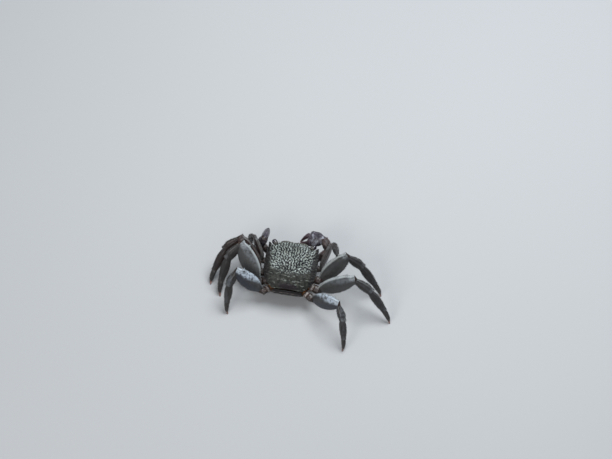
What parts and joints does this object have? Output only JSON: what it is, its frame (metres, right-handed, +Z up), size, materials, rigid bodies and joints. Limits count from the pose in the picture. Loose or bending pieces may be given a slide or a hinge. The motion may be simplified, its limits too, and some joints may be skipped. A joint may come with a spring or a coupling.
{
  "type": "mangrove crab figure",
  "caption": "Life-size still figure of a standing mangrove crab with a square mottled back shell, short eyestalks, small claws and broad flat walking legs, resting on its claw tips.",
  "frame": {"origin": "on the floor, under the middle of the whole animal's box", "axes": "+Z up, the crab faces -Y and its own left side is +X"},
  "size_m": [0.1257, 0.0743, 0.0332],
  "materials": {
    "shell": "wet hard shell, dark with pale grey-green mottling",
    "belly": "hard shell, buff and grey",
    "leg": "wet hard shell, dark grey to brown, with short dark bristles",
    "claw": "hard granular shell, violet grey with darker fingers",
    "eye": "glossy dark cornea on a grey stalk",
    "mouth": "hard plates with short bristles",
    "feeler": "thin dark feeler"
  },
  "bodies": {
    "root": {"carapace": "shell", "sternum": "belly", "abdomen": "belly", "eye_left": "eye", "eye_right": "eye", "antenna_left": "feeler", "antenna_right": "feeler", "maxilliped_left": "mouth", "maxilliped_right": "mouth", "claw_left_ischium": "claw", "claw_left_merus": "claw", "claw_left_carpus": "claw", "claw_left_palm": "claw", "claw_left_finger": "claw", "claw_right_ischium": "claw", "claw_right_merus": "claw", "claw_right_carpus": "claw", "claw_right_palm": "claw", "claw_right_finger": "claw", "leg_1_left_coxa": "belly", "leg_1_left_merus": "leg", "leg_1_left_carpus": "leg", "leg_1_left_propodus": "leg", "leg_1_left_dactyl": "leg", "leg_2_left_coxa": "belly", "leg_2_left_merus": "leg", "leg_2_left_carpus": "leg", "leg_2_left_propodus": "leg", "leg_2_left_dactyl": "leg", "leg_3_left_coxa": "belly", "leg_3_left_merus": "leg", "leg_3_left_carpus": "leg", "leg_3_left_propodus": "leg", "leg_3_left_dactyl": "leg", "leg_4_left_coxa": "belly", "leg_4_left_merus": "leg", "leg_4_left_carpus": "leg", "leg_4_left_propodus": "leg", "leg_4_left_dactyl": "leg", "leg_1_right_coxa": "belly", "leg_1_right_merus": "leg", "leg_1_right_carpus": "leg", "leg_1_right_propodus": "leg", "leg_1_right_dactyl": "leg", "leg_2_right_coxa": "belly", "leg_2_right_merus": "leg", "leg_2_right_carpus": "leg", "leg_2_right_propodus": "leg", "leg_2_right_dactyl": "leg", "leg_3_right_coxa": "belly", "leg_3_right_merus": "leg", "leg_3_right_carpus": "leg", "leg_3_right_propodus": "leg", "leg_3_right_dactyl": "leg", "leg_4_right_coxa": "belly", "leg_4_right_merus": "leg", "leg_4_right_carpus": "leg", "leg_4_right_propodus": "leg", "leg_4_right_dactyl": "leg"}
  },
  "joints": []
}
